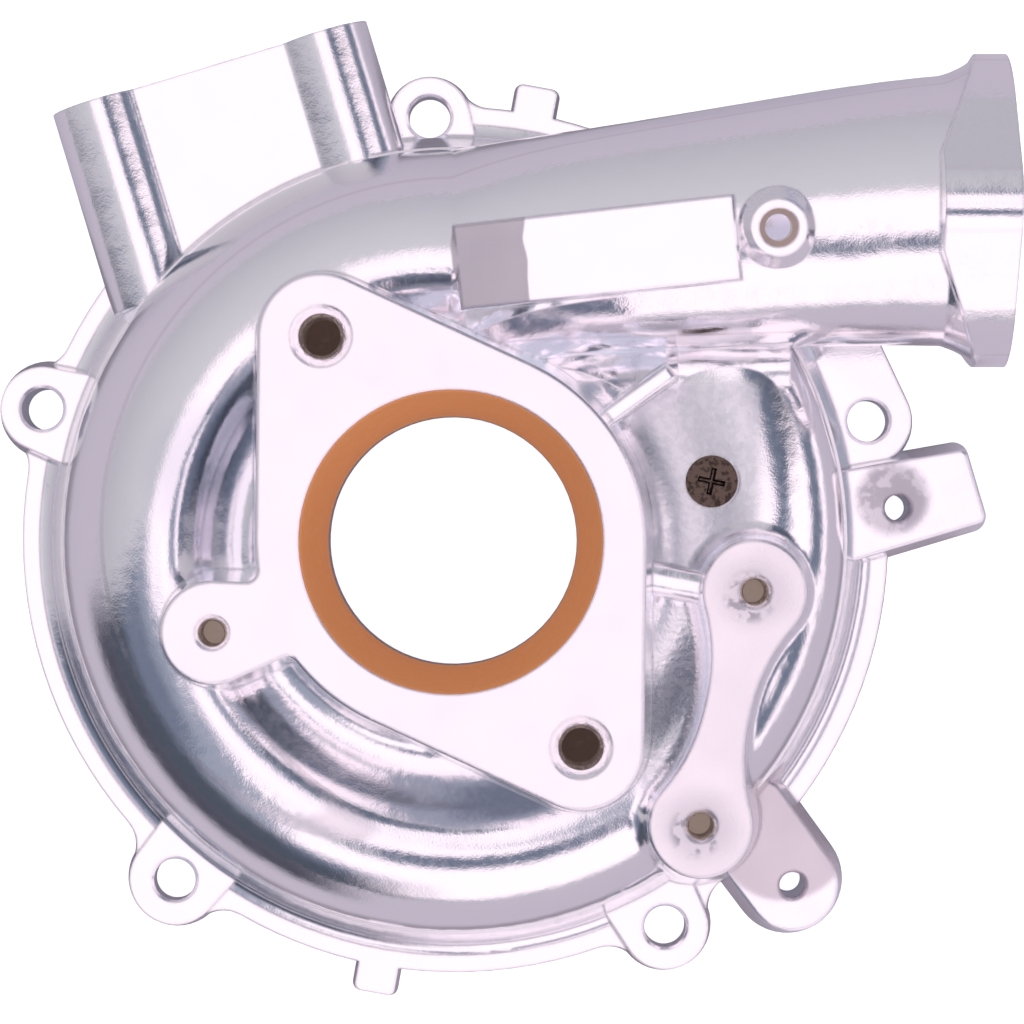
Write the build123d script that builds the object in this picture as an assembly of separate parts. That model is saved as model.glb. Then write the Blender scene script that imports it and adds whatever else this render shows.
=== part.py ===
from build123d import *
from math import atan2, cos, degrees, hypot, radians, sin, sqrt, tan
import os

os.makedirs("parts", exist_ok=True)

# Compressor housing of a turbocharger: one aluminium casting with a scroll
# that grows clockwise, seen from the inlet, into a tangential outlet pipe.
# The origin is on the inlet axis, in the plane of the rim's back face.
# +Z points out of the inlet and +X lies along the outlet pipe. Millimetres.

# Inlet flange and bore
INLET_FACE_Z = 60.0
INLET_BORE_R = 23.1
INLET_EDGE_BREAK = 0.5
INLET_FLANGE_R = 30.1
INLET_LOBE_R = 9.7
INLET_BOLT_PCD = 75.0
INLET_BOLT_ANGLE = 122.3
INLET_FLANGE_DEPTH = 42.0
INLET_DRAFT = 4.0
THROAT_R = 19.8
THROAT_Z = 34.0
SIDE_EAR_X = -36.8
SIDE_EAR_Y = -14.0
SIDE_EAR_R = 8.0
SIDE_EAR_ROOT = (-24.0, -11.5)
SIDE_EAR_ROOT_R = 5.0
NOTCH_R = 1.8
EDGE_ROUND = 0.5

# Threads: drill radii, depths and countersinks
M8_DRILL_R = 3.4
M8_DEPTH = 17.0
M8_COUNTERSINK_R = 4.9
M5_DRILL_R = 2.1
M5_DEPTH = 11.0
M5_COUNTERSINK_R = 2.8
DRILL_TIP_ANGLE = 118.0
FLANGE_COUNTERSINK_R = 4.3

# Lengths by which a cutting shape runs out past its face, and by which joined shapes lap
OVER = 1.0
LAP = 2.0

# Back side: plate seat, diffuser wall and impeller shroud
PLATE_SEAT_R = 63.0
PLATE_SEAT_DEPTH = 3.5
DIFFUSER_Z = 8.0
DIFFUSER_LIP_R = 46.5
IMPELLER_EXIT_R = 29.5
SHROUD_TOP_Z = 26.0
CAVITY_R = 59.5
PASSAGE_OUTER_R = 59.0

# Rim
RIM_R = 71.4
RIM_T = 5.0
RIM_LAND_R = 68.2
RIM_LAND_STEP = 0.6
RIM_DRAFT = 6.0
EAR_HOLE_R = 3.4
EAR_HOLE_CHAMFER = 0.45
EAR_BLEND_R = 6.0
EAR_ROOT_R = 10.0
EAR_FACE_ROOT_R = 8.0
TAB_WIDTH = 6.6
TAB_REACH = 76.0
TAB_LENGTH = 12.0
TAB_CORNER_R = 1.0
TAB_ANGLES = (79.6, 259.8)

# Scroll
PARTING_Z = 22.0
WALL_FOOT_R = 66.2
WALL_TOP_R = 63.6
WALL_FOOT_FILLET = 2.4
PARTING_STEP = 0.4
SCROLL_START = 62.0
SCROLL_TURN = 332.0
SCROLL_SECTIONS = 25
CREST_R_START = 54.5
CREST_R_END = 43.5
CREST_Z_START = 24.5
CREST_Z_END = 47.5
GROWTH = 0.6
INNER_DROP_START = 1.0
INNER_DROP_END = 9.0
SCROLL_INNER_R = 24.0
VALLEY_R_START = 38.5
VALLEY_R_END = 32.5
COLLAR_R = 30.6
COLLAR_RISE = 7.0
PASSAGE_Z_START = 13.0
PASSAGE_Z_END = 42.0
PASSAGE_INNER_END_R = 34.5
PASSAGE_INSET = 1.0
PASSAGE_INNER_GROWTH = 0.8

# Outlet pipe and flange
PIPE_Z = 31.0
OUTLET_Y = 52.7
OUTLET_FACE_X = 88.0
OUTLET_FLANGE_R = 25.0
OUTLET_LOBE_R = 7.7
OUTLET_BOLT_PCD = 46.0
OUTLET_BOLT_DEPTH = 8.5
OUTLET_LOBE_T = 12.0
OUTLET_SIDE_T = 5.0
OUTLET_BORE_R = 16.0
OUTLET_BORE_LENGTH = 20.0
NECK_LENGTH = 9.0
NECK_RISE = 3.2
NECK_SINK = 0.6
NECK_CURVE_R = 14.4
# Pipe stations from the scroll to the flange: x, y, outer and bore radius
PIPE = (
    (24.0, 48.0, 18.2, 14.0),
    (46.0, 50.2, 19.6, 15.0),
    (68.0, 52.2, 21.0, 16.0),
    (80.0, 52.7, 21.7, 16.0),
)

# Concave foot of the pipe on the web, at these stations
PIPE_FILLET_X = (15.0, 28.0, 41.0, 54.0)
PIPE_FILLET_R = 6.0
PIPE_FILLET_LEAN = 0.4
PIPE_FILLET_SINK = 0.5

# First station of the bore, inside the last turn of the passage: x, y and radius
BORE_START = (-10.0, 44.6, 12.0)

# Bare plate seat and port on the pipe
PLATE_X = 22.6
PLATE_Y = 45.1
PLATE_Z = 49.4
PLATE_LENGTH = 44.2
PLATE_WIDTH = 13.4
PLATE_TURN = 6.0
PLATE_RISE = 3.8
PLATE_DEPTH = 8.0
PLATE_EDGE = 0.35
PORT_X = 50.9
PORT_FACE_Z = 52.6
PORT_LEAN = 5.0
PORT_R = 4.8
PORT_FOOT_R = 6.4
PORT_HEIGHT = 2.2
PORT_CONE_R = 3.1
PORT_HOLE_R = 2.1
PORT_HOLE_DEPTH = 10.0
PORT_CONE_DEPTH = 1.6
PORT_ROOT_DEPTH = 6.0
PORT_EDGE = 0.4

# Two-bolt link pad beside the flange
LINK_TOP = (47.8, -8.0)
LINK_ANGLE = 257.0
LINK_PITCH = 38.0
LINK_LOBE_R = 8.3
LINK_WAIST = 7.4
LINK_BLEND_R = 30.0
LINK_FACE_Z = 40.0
LINK_DRAFT = 6.0
LINK_FOOT_R = 2.5
LINK_FOOT_Z = 30.0

# Lugs on the right side
LUG_FACE_Z = 14.0
LUG_CORNERS = ((62.0, 11.1), (83.5, 14.9), (87.0, 3.1), (62.5, -4.2))
LUG_HOLE = (72.4, 5.3)
LUG_DRAFT = 6.0
LUG_CORNER_R = 1.2
LOWER_LUG_FACE_Z = 16.0
LOWER_LUG_HOLE = (55.1, -56.2)
LOWER_LUG_R = 7.5
LOWER_LUG_TIP = (51.0, -41.5, 2.2)
LOWER_LUG_ROOT = (46.0, -50.0, 4.0)
RIGHT_EAR_TIP = (66.5, 31.0, 3.6)
RIGHT_EAR_ROOT = (56.0, 16.0, 8.0)
LUG_HOLE_R = 2.1

# Two-boss pad on the upper left, its face seen edge on
PAD_X = -39.9
PAD_Y = 76.9
PAD_Z = 14.5
PAD_TURN = 16.8
PAD_PITCH = 38.0
PAD_BOSS_R = 7.7
PAD_DEPTH = 34.0
PAD_WEB_LOW = 8.5
PAD_WEB_HIGH = 19.5
PAD_BLEND_R = 1.2
PAD_FOOT_SHARE = 0.8
PAD_FOOT_INSET = 0.5

# Ribs between the flange, the pipe and the link pad, each from point to point
RIB_DRAFT = 2.0
RIB_FOOT_Z = 20.0
CORNER_RIB = ((22.5, 18.1), (34.8, 27.0))
CORNER_RIB_T = 2.8
CORNER_RIB_TOP_Z = 37.0
CORNER_RIB_ROUND = 0.7
UPPER_BAR = ((28.0, -5.2), (44.0, -8.3))
UPPER_BAR_T = 5.0
UPPER_BAR_ROUND = 2.0
LOWER_BAR = ((22.0, -38.0), (36.0, -43.0))
LOWER_BAR_T = 3.5
LOWER_BAR_ROUND = 1.2
BAR_TOP_Z = 36.5

# Plug screw in the web
SCREW_X = 41.3
SCREW_Y = 9.5
SCREW_HEAD_R = 4.15
SCREW_HEAD_T = 2.0
SCREW_SHANK_R = 2.0
SCREW_LENGTH = 7.0
SCREW_FACE_Z = 30.9
SCREW_CLEARANCE = 0.1
SPOT_FACE_R = 4.5
SPOT_FACE_HEIGHT = 4.0
SCREW_END_CHAMFER = 0.5
RECESS_ARM = 2.2
RECESS_WIDTH = 0.9
RECESS_DEPTH = 1.5
RECESS_TURN = -12.0
RECESS_DRAFT = 12.0


def polar(radius, angle):
    """Point of the rim plane at a radius and an angle in degrees."""
    return (radius * cos(radians(angle)), radius * sin(radians(angle)))


def disc(x, y, radius):
    """Disc whose seam points at the origin, so a hull around it has no split there."""
    return Pos(x, y) * Rot(0, 0, degrees(atan2(-y, -x))) * Circle(radius)


def hull(*faces):
    """Outline drawn tight around several discs."""
    edges = [edge for face in faces for edge in face.edges()]
    return make_hull(edges)


def round_corners(outline, radius):
    """Outline with each inner corner rounded."""
    return offset(offset(outline, radius), -radius)


def block(outline, z_low, z_high, draft=0.0):
    """Outline at z_high, carried down to z_low with the wall leaning outwards."""
    face = Pos(0, 0, z_high) * outline
    return extrude(face, amount=z_high - z_low, dir=(0, 0, -1), taper=-draft)


def tapped_hole(drill_r, depth, countersink_r):
    """Blind drilled hole from z = 0 downwards, with its tip and countersink."""
    tip = drill_r / tan(radians(DRILL_TIP_ANGLE / 2))
    with BuildSketch(Plane.XZ) as profile:
        with BuildLine():
            Polyline(
                (0, OVER),
                (countersink_r + OVER, OVER),
                (countersink_r, 0),
                (drill_r, drill_r - countersink_r),
                (drill_r, -depth),
                (0, -depth - tip),
                close=True,
            )
        make_face()
    return revolve(profile.sketch, Axis.Z)


def turned(points):
    """Solid turned about Z from a closed outline of radius and height pairs."""
    return revolve(Plane.XZ * make_face(Polyline(*points, close=True)), Axis.Z)


# Rim with its ears and tabs
# Each ear: hole centre x and y, outer radius and height of its face
EARS = {
    "left": (-67.5, 21.5, 6.9, 12.0),
    "lower_left": (-46.2, -56.0, 7.5, 6.4),
    "bottom": (34.6, -63.7, 7.1, 7.0),
    "right": (68.0, 19.6, 7.1, 8.0),
    "top": (-4.2, 69.7, 6.6, 6.4),
}


def rim_outline():
    outline = Circle(RIM_R)
    for x, y, radius, _ in EARS.values():
        angle = degrees(atan2(y, x))
        root = disc(*polar(RIM_R - EAR_ROOT_R, angle), EAR_ROOT_R)
        outline += hull(disc(x, y, radius), root)
    outline = round_corners(outline, EAR_BLEND_R)
    for angle in TAB_ANGLES:
        tab = Pos(TAB_REACH - TAB_LENGTH / 2, 0) * RectangleRounded(TAB_LENGTH, TAB_WIDTH, TAB_CORNER_R)
        outline += Rot(0, 0, angle) * tab
    return outline


def rim():
    outline = rim_outline()
    plate = block(outline, 0, RIM_T, RIM_DRAFT)
    land = block(Circle(RIM_LAND_R), 0, RIM_T + RIM_LAND_STEP)
    body = plate + land
    for x, y, radius, top in EARS.values():
        angle = degrees(atan2(y, x))
        root = disc(*polar(RIM_R - EAR_ROOT_R, angle), EAR_FACE_ROOT_R)
        body += block(hull(disc(x, y, radius), root), 0, top, RIM_DRAFT)
    return body


# Scroll
def scroll_plane(turn):
    """Half plane through the inlet axis at a share of the scroll's turn."""
    angle = radians(SCROLL_START - SCROLL_TURN * turn)
    return Plane(origin=(0, 0, 0), x_dir=(cos(angle), sin(angle), 0), z_dir=(sin(angle), -cos(angle), 0))


def between(start, end, share):
    return start + (end - start) * share


def outer_section(turn):
    share = turn ** GROWTH
    crest_r = between(CREST_R_START, CREST_R_END, share)
    crest_z = between(CREST_Z_START, CREST_Z_END, share)
    valley_r = between(VALLEY_R_START, VALLEY_R_END, turn)
    valley_z = crest_z - between(INNER_DROP_START, INNER_DROP_END, turn)
    wall_r = WALL_TOP_R - PARTING_STEP
    foot = (wall_r - LAP, DIFFUSER_Z + LAP)
    shoulder = (wall_r, PARTING_Z - LAP / 2)
    crest = (crest_r, crest_z)
    valley = (valley_r, valley_z)
    collar = (COLLAR_R, valley_z + COLLAR_RISE)
    inner_foot = (SCROLL_INNER_R, DIFFUSER_Z + LAP)
    middle = (
        crest_r + (wall_r - crest_r) * sqrt(0.5),
        PARTING_Z + (crest_z - PARTING_Z) * sqrt(0.5),
    )
    with BuildLine() as outline:
        Line(inner_foot, foot)
        Line(foot, shoulder)
        Spline(shoulder, middle, crest, tangents=[(0, 1), (-1, 0)])
        Spline(crest, valley, tangents=[(-1, 0), (-1, 0)])
        Spline(valley, collar, tangents=[(-1, 0), (0, 1)])
        Line(collar, inner_foot)
    return scroll_plane(turn) * make_face(outline.line)


def passage_section(turn):
    share = turn ** GROWTH
    crest_r = between(CREST_R_START - PASSAGE_INSET, CREST_R_END + PASSAGE_INSET, share)
    crest_z = between(PASSAGE_Z_START, PASSAGE_Z_END, share)
    inner_r = between(DIFFUSER_LIP_R - PASSAGE_INSET, PASSAGE_INNER_END_R, turn ** PASSAGE_INNER_GROWTH)
    middle_z = between(DIFFUSER_Z, crest_z, 0.5)
    lip = (DIFFUSER_LIP_R, DIFFUSER_Z - OVER)
    waist = (inner_r, middle_z)
    crest = (crest_r, crest_z)
    wall = (PASSAGE_OUTER_R, middle_z)
    foot = (PASSAGE_OUTER_R, DIFFUSER_Z - OVER)
    with BuildLine() as outline:
        Line(lip, foot)
        Line(foot, wall)
        Spline(wall, crest, tangents=[(0, 1), (-1, 0)])
        Spline(crest, waist, tangents=[(-1, 0), (0, -1)])
        Spline(waist, lip, tangents=[(0, -1), (0.4, -1)])
    return scroll_plane(turn) * make_face(outline.line)


def scroll_turns():
    return [index / (SCROLL_SECTIONS - 1) for index in range(SCROLL_SECTIONS)]


def scroll_wall():
    """Lower wall of the scroll, the same all round, from rim to parting line."""
    rim_top = RIM_T + RIM_LAND_STEP
    foot_z = rim_top + WALL_FOOT_FILLET
    with BuildSketch(Plane.XZ) as profile:
        with BuildLine():
            Polyline(
                (WALL_FOOT_R, foot_z),
                (WALL_TOP_R, PARTING_Z),
                (0, PARTING_Z),
                (0, 0),
                (WALL_FOOT_R + WALL_FOOT_FILLET, 0),
                (WALL_FOOT_R + WALL_FOOT_FILLET, rim_top),
            )
            TangentArc((WALL_FOOT_R + WALL_FOOT_FILLET, rim_top), (WALL_FOOT_R, foot_z), tangent=(-1, 0))
        make_face()
    return revolve(profile.sketch, Axis.Z)


def scroll():
    return loft([outer_section(turn) for turn in scroll_turns()])


def passage():
    return loft([passage_section(turn) for turn in scroll_turns()])


# Outlet pipe and its flange
def pipe_plane(x, y):
    return Plane(origin=(x, y, PIPE_Z), x_dir=(0, 1, 0), z_dir=(1, 0, 0))


def pipe():
    """Outlet pipe, which takes up the scroll's last section and turns it round."""
    stations = [pipe_plane(x, y) * Circle(outer) for x, y, outer, _ in PIPE]
    return loft([outer_section(1)] + stations)


def web_height(x, y):
    """Height of the scroll's crest at the angle of a point."""
    turn = max(0, (SCROLL_START - degrees(atan2(y, x))) / SCROLL_TURN)
    return between(CREST_Z_START, CREST_Z_END, turn ** GROWTH)


def pipe_fillet():
    """Concave foot along the pipe's inner side, down to the web beside it."""
    sections = []
    for x in PIPE_FILLET_X:
        share = (x - PIPE[0][0]) / (PIPE[2][0] - PIPE[0][0])
        side_y = between(PIPE[0][1] - PIPE[0][2], PIPE[2][1] - PIPE[2][2], share)
        web_z = web_height(x, side_y) - PIPE_FILLET_SINK
        edge = (side_y - PIPE_FILLET_R, web_z)
        top = (side_y + PIPE_FILLET_LEAN, web_z + PIPE_FILLET_R)
        inner_y = side_y + PIPE_FILLET_R
        low_z = PARTING_Z - LAP
        with BuildLine() as outline:
            Spline(edge, top, tangents=[(1, 0), (PIPE_FILLET_LEAN / 2, 1)])
            Polyline(top, (inner_y, top[1]), (inner_y, low_z), (edge[0], low_z), edge)
        plane = Plane(origin=(x, 0, 0), x_dir=(0, 1, 0), z_dir=(1, 0, 0))
        sections.append(plane * make_face(outline.line))
    return loft(sections)


def pipe_bore():
    sections = [pipe_plane(*BORE_START[:2]) * Circle(BORE_START[2])]
    sections += [pipe_plane(x, y) * Circle(bore) for x, y, _, bore in PIPE[:-1]]
    mouth = pipe_plane(OUTLET_FACE_X - OUTLET_BORE_LENGTH, OUTLET_Y) * Circle(OUTLET_BORE_R)
    straight = extrude(mouth, amount=OUTLET_BORE_LENGTH + OVER)
    return loft(sections) + straight


def outlet_flange():
    face = pipe_plane(OUTLET_FACE_X, OUTLET_Y)
    reach = OUTLET_BOLT_PCD / 2
    outline = hull(
        Circle(OUTLET_FLANGE_R),
        disc(0, reach, OUTLET_LOBE_R),
        disc(0, -reach, OUTLET_LOBE_R),
    )
    body = extrude(face * outline, amount=-OUTLET_LOBE_T)
    back_x = OUTLET_FACE_X - OUTLET_LOBE_T
    side_x = OUTLET_FACE_X - OUTLET_SIDE_T
    height = OUTLET_BOLT_PCD + 2 * (OUTLET_LOBE_R + OVER)
    for side in (1, -1):
        lobe_y = OUTLET_Y + side * OUTLET_LOBE_R
        edge_y = OUTLET_Y + side * OUTLET_FLANGE_R
        outside_y = edge_y + side * OVER
        with BuildSketch(Plane.XY) as wedge:
            with BuildLine():
                Polyline(
                    (back_x - OVER, lobe_y),
                    (back_x, lobe_y),
                    (side_x, edge_y),
                    (side_x, outside_y),
                    (back_x - OVER, outside_y),
                    close=True,
                )
            make_face()
        body -= extrude(Pos(0, 0, PIPE_Z - height / 2) * wedge.sketch, amount=height)
    return body + neck()


def neck():
    """Concave neck that carries the pipe out into the flange."""
    x_end = OUTLET_FACE_X - OUTLET_SIDE_T
    x_start = x_end - NECK_LENGTH
    start_r = PIPE[-1][2] - NECK_SINK
    with BuildSketch(Plane.XY) as profile:
        with BuildLine():
            RadiusArc((x_start, start_r), (x_end, start_r + NECK_RISE), -NECK_CURVE_R)
            Polyline((x_end, start_r + NECK_RISE), (x_end, 0), (x_start, 0), (x_start, start_r))
        make_face()
    return Pos(0, OUTLET_Y, PIPE_Z) * revolve(profile.sketch, Axis.X)


def outlet_bolt_holes():
    holes = []
    for side in (1, -1):
        plane = Plane(
            origin=(OUTLET_FACE_X, OUTLET_Y, PIPE_Z + side * OUTLET_BOLT_PCD / 2),
            x_dir=(0, 1, 0),
            z_dir=(1, 0, 0),
        )
        holes.append(plane * tapped_hole(M8_DRILL_R, OUTLET_BOLT_DEPTH, FLANGE_COUNTERSINK_R))
    return holes


# Bare plate seat and port on the pipe
def plate_seat():
    align = (Align.CENTER, Align.CENTER, Align.MAX)
    slab = Box(PLATE_LENGTH, PLATE_WIDTH, PLATE_DEPTH, align=align)
    slab = chamfer(slab.edges().group_by(Axis.Z)[-1], PLATE_EDGE)
    slope = degrees(atan2(PLATE_RISE, PLATE_LENGTH))
    return Pos(PLATE_X, PLATE_Y, PLATE_Z) * Rot(0, 0, PLATE_TURN) * Rot(0, -slope, 0) * slab


def port_frame():
    """Frame on the port's face, its Z along the port and away from the pipe's axis."""
    axis_y = between(PIPE[1][1], PIPE[2][1], (PORT_X - PIPE[1][0]) / (PIPE[2][0] - PIPE[1][0]))
    reach = PORT_FACE_Z - PIPE_Z
    return Pos(PORT_X, axis_y, PIPE_Z) * Rot(PORT_LEAN, 0, 0) * Pos(0, 0, reach)


def port():
    profile = (
        (0, -PORT_HEIGHT - PORT_ROOT_DEPTH),
        (PORT_FOOT_R, -PORT_HEIGHT - PORT_ROOT_DEPTH),
        (PORT_FOOT_R, -PORT_HEIGHT),
        (PORT_R, -PORT_EDGE),
        (PORT_R - PORT_EDGE, 0),
        (0, 0),
    )
    return port_frame() * turned(profile)


def port_hole():
    profile = (
        (0, OVER),
        (PORT_CONE_R + OVER, OVER),
        (PORT_CONE_R, 0),
        (PORT_HOLE_R, -PORT_CONE_DEPTH),
        (PORT_HOLE_R, -PORT_HOLE_DEPTH),
        (0, -PORT_HOLE_DEPTH),
    )
    return port_frame() * turned(profile)


# Inlet flange with its side ear
def inlet_flange():
    """Drafted flange with two bolt lobes and a side ear, its notches and top edge rounded."""
    lobes = [
        disc(*polar(INLET_BOLT_PCD / 2, INLET_BOLT_ANGLE + half_turn), INLET_LOBE_R)
        for half_turn in (0, 180)
    ]
    core = Rot(0, 0, INLET_BOLT_ANGLE) * Circle(INLET_FLANGE_R)
    side_ear = hull(disc(SIDE_EAR_X, SIDE_EAR_Y, SIDE_EAR_R), disc(*SIDE_EAR_ROOT, SIDE_EAR_ROOT_R))
    z_low = INLET_FACE_Z - INLET_FLANGE_DEPTH
    plate = block(hull(core, *lobes), z_low, INLET_FACE_Z, INLET_DRAFT)
    ear = block(side_ear, z_low, INLET_FACE_Z, INLET_DRAFT)
    body = plate + ear
    corners = new_edges(plate, ear, combined=body)
    notches = [edge for edge in corners if edge.bounding_box().size.Z > INLET_FLANGE_DEPTH / 2]
    body = fillet(notches, NOTCH_R)
    return fillet(body.edges().group_by(Axis.Z)[-1], EDGE_ROUND)


def inlet_holes():
    holes = [Pos(SIDE_EAR_X, SIDE_EAR_Y, INLET_FACE_Z) * tapped_hole(M5_DRILL_R, M5_DEPTH, M5_COUNTERSINK_R)]
    for half_turn in (0, 180):
        x, y = polar(INLET_BOLT_PCD / 2, INLET_BOLT_ANGLE + half_turn)
        tool = tapped_hole(M8_DRILL_R, M8_DEPTH, M8_COUNTERSINK_R)
        holes.append(Pos(x, y, INLET_FACE_Z) * tool)
    return holes


# Inside: inlet bore, throat, impeller shroud, diffuser wall and plate seat
def inner_turning():
    bore_top = INLET_FACE_Z - INLET_EDGE_BREAK
    with BuildSketch(Plane.XZ) as profile:
        with BuildLine():
            Line((INLET_BORE_R + INLET_EDGE_BREAK, INLET_FACE_Z), (INLET_BORE_R, bore_top))
            Spline(
                (INLET_BORE_R, bore_top),
                (THROAT_R, THROAT_Z),
                tangents=[(-0.12, -1), (0, -1)],
            )
            Line((THROAT_R, THROAT_Z), (THROAT_R, SHROUD_TOP_Z))
            Spline(
                (THROAT_R, SHROUD_TOP_Z),
                (IMPELLER_EXIT_R, DIFFUSER_Z),
                tangents=[(0, -1), (1, -0.12)],
            )
            Polyline(
                (IMPELLER_EXIT_R, DIFFUSER_Z),
                (CAVITY_R, DIFFUSER_Z),
                (CAVITY_R, PLATE_SEAT_DEPTH),
                (PLATE_SEAT_R, PLATE_SEAT_DEPTH),
                (PLATE_SEAT_R, -OVER),
                (0, -OVER),
                (0, INLET_FACE_Z + OVER),
                (INLET_BORE_R + INLET_EDGE_BREAK, INLET_FACE_Z + OVER),
                (INLET_BORE_R + INLET_EDGE_BREAK, INLET_FACE_Z),
            )
        make_face()
    return revolve(profile.sketch, Axis.Z)


# Link pad
def link_bottom():
    dx, dy = polar(LINK_PITCH, LINK_ANGLE)
    return (LINK_TOP[0] + dx, LINK_TOP[1] + dy)


def link_pad():
    middle = ((LINK_TOP[0] + link_bottom()[0]) / 2, (LINK_TOP[1] + link_bottom()[1]) / 2)
    bar = Pos(*middle) * Rot(0, 0, LINK_ANGLE) * Rectangle(LINK_PITCH, LINK_WAIST)
    outline = disc(*LINK_TOP, LINK_LOBE_R) + disc(*link_bottom(), LINK_LOBE_R) + bar
    outline = round_corners(outline, LINK_BLEND_R)
    body = block(outline, RIM_T, LINK_FACE_Z, LINK_DRAFT)
    return fillet(body.edges().group_by(Axis.Z)[-1], EDGE_ROUND)


def link_holes():
    tool = tapped_hole(M5_DRILL_R, M5_DEPTH, M5_COUNTERSINK_R)
    return [Pos(x, y, LINK_FACE_Z) * tool for x, y in (LINK_TOP, link_bottom())]


# Lugs on the right side
def side_lug():
    outline = fillet(make_face(Polyline(*LUG_CORNERS, close=True)).vertices(), LUG_CORNER_R)
    body = block(outline, 0, LUG_FACE_Z, LUG_DRAFT)
    return fillet(body.edges().group_by(Axis.Z)[-1], EDGE_ROUND)


def lower_lug():
    outline = hull(disc(*LOWER_LUG_HOLE, LOWER_LUG_R), disc(*LOWER_LUG_TIP), disc(*LOWER_LUG_ROOT))
    body = block(outline, 0, LOWER_LUG_FACE_Z, LUG_DRAFT)
    return fillet(body.edges().group_by(Axis.Z)[-1], EDGE_ROUND)


def right_ear():
    """Face that joins the right ear to the wall and runs back below the pipe."""
    x, y, radius, top = EARS["right"]
    outline = hull(disc(x, y, radius), disc(*RIGHT_EAR_TIP), disc(*RIGHT_EAR_ROOT))
    return block(outline, 0, top, RIM_DRAFT)


# Two-boss pad
def pad_frame():
    """Frame on the pad's face: X along the face, Y up, Z out of the casting."""
    turn = radians(PAD_TURN)
    return Plane(
        origin=(PAD_X, PAD_Y, PAD_Z),
        x_dir=(-cos(turn), -sin(turn), 0),
        z_dir=(-sin(turn), cos(turn), 0),
    )


def pad():
    face = pad_frame()
    half = PAD_PITCH / 2
    middle = (PAD_WEB_HIGH + PAD_WEB_LOW) / 2 - PAD_Z
    web = Pos(0, middle) * Rectangle(PAD_PITCH, PAD_WEB_HIGH - PAD_WEB_LOW)
    outline = disc(half, 0, PAD_BOSS_R) + disc(-half, 0, PAD_BOSS_R) + web
    outline = round_corners(outline, PAD_BLEND_R)
    body = extrude(face * outline, amount=-PAD_DEPTH)
    return body + pad_foot()


def pad_foot():
    """Metal between the pad and the rim below it."""
    face = pad_frame()
    half = PAD_PITCH / 2 + PAD_BOSS_R * PAD_FOOT_SHARE
    strip = extrude(face * (Pos(0, -PAD_Z / 2) * Rectangle(2 * half, PAD_Z)), amount=-PAD_DEPTH)
    return strip & Cylinder(RIM_R - PAD_FOOT_INSET, PAD_Z, align=(Align.CENTER, Align.CENTER, Align.MIN))


def pad_holes():
    half = PAD_PITCH / 2
    tool = tapped_hole(M8_DRILL_R, M8_DEPTH, FLANGE_COUNTERSINK_R)
    return [pad_frame() * Pos(side * half, 0, 0) * tool for side in (1, -1)]


# Ribs
def rib_between(points, width, z_high, round_r):
    """Straight rib between two points, with its top edges rounded."""
    start, end = points
    length = hypot(end[0] - start[0], end[1] - start[1])
    turn = degrees(atan2(end[1] - start[1], end[0] - start[0]))
    outline = Pos(length / 2, 0) * Rectangle(length, width)
    body = block(outline, RIB_FOOT_Z, z_high, RIB_DRAFT)
    body = fillet(body.edges().group_by(Axis.Z)[-1], round_r)
    return Pos(*start) * Rot(0, 0, turn) * body


def ribs():
    return [
        rib_between(CORNER_RIB, CORNER_RIB_T, CORNER_RIB_TOP_Z, CORNER_RIB_ROUND),
        rib_between(UPPER_BAR, UPPER_BAR_T, BAR_TOP_Z, UPPER_BAR_ROUND),
        rib_between(LOWER_BAR, LOWER_BAR_T, BAR_TOP_Z, LOWER_BAR_ROUND),
    ]


# Plug screw, countersunk with a cross recess
def screw_seat():
    profile = (
        (0, SPOT_FACE_HEIGHT),
        (SPOT_FACE_R, SPOT_FACE_HEIGHT),
        (SPOT_FACE_R, 0),
        (SCREW_HEAD_R + SCREW_CLEARANCE, 0),
        (SCREW_SHANK_R + SCREW_CLEARANCE, -SCREW_HEAD_T),
        (SCREW_SHANK_R + SCREW_CLEARANCE, -SCREW_LENGTH - OVER),
        (0, -SCREW_LENGTH - OVER),
    )
    return Pos(SCREW_X, SCREW_Y, SCREW_FACE_Z) * turned(profile)


def plug_screw():
    profile = (
        (0, 0),
        (SCREW_HEAD_R, 0),
        (SCREW_SHANK_R, -SCREW_HEAD_T),
        (SCREW_SHANK_R, -SCREW_LENGTH + SCREW_END_CHAMFER),
        (SCREW_SHANK_R - SCREW_END_CHAMFER, -SCREW_LENGTH),
        (0, -SCREW_LENGTH),
    )
    body = turned(profile)
    arm = Rectangle(2 * RECESS_ARM, RECESS_WIDTH)
    cross = arm + Rot(0, 0, 90) * arm
    recess = extrude(cross, amount=-RECESS_DEPTH, taper=RECESS_DRAFT)
    body = body - Rot(0, 0, RECESS_TURN) * recess
    return Pos(SCREW_X, SCREW_Y, SCREW_FACE_Z) * body


# The casting
def clear_hole(x, y, top, radius):
    """Plain hole from a face at height top down through the rim, its upper edge broken."""
    edge_r = radius + EAR_HOLE_CHAMFER
    profile = (
        (0, OVER),
        (edge_r + OVER, OVER),
        (edge_r, 0),
        (radius, -EAR_HOLE_CHAMFER),
        (radius, -top - OVER),
        (0, -top - OVER),
    )
    return Pos(x, y, top) * turned(profile)


def clear_holes():
    holes = [clear_hole(x, y, top, EAR_HOLE_R) for x, y, _, top in EARS.values()]
    holes.append(clear_hole(*LUG_HOLE, LUG_FACE_Z, LUG_HOLE_R))
    holes.append(clear_hole(*LOWER_LUG_HOLE, LOWER_LUG_FACE_Z, LUG_HOLE_R))
    return holes


def join_with_foot(body, piece, radius, z_low):
    """Piece joined to the body, with a fillet where they meet above a height."""
    joined = body + piece
    joint = [edge for edge in new_edges(body, piece, combined=joined) if edge.center().Z > z_low]
    return fillet(joint, radius)


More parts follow.
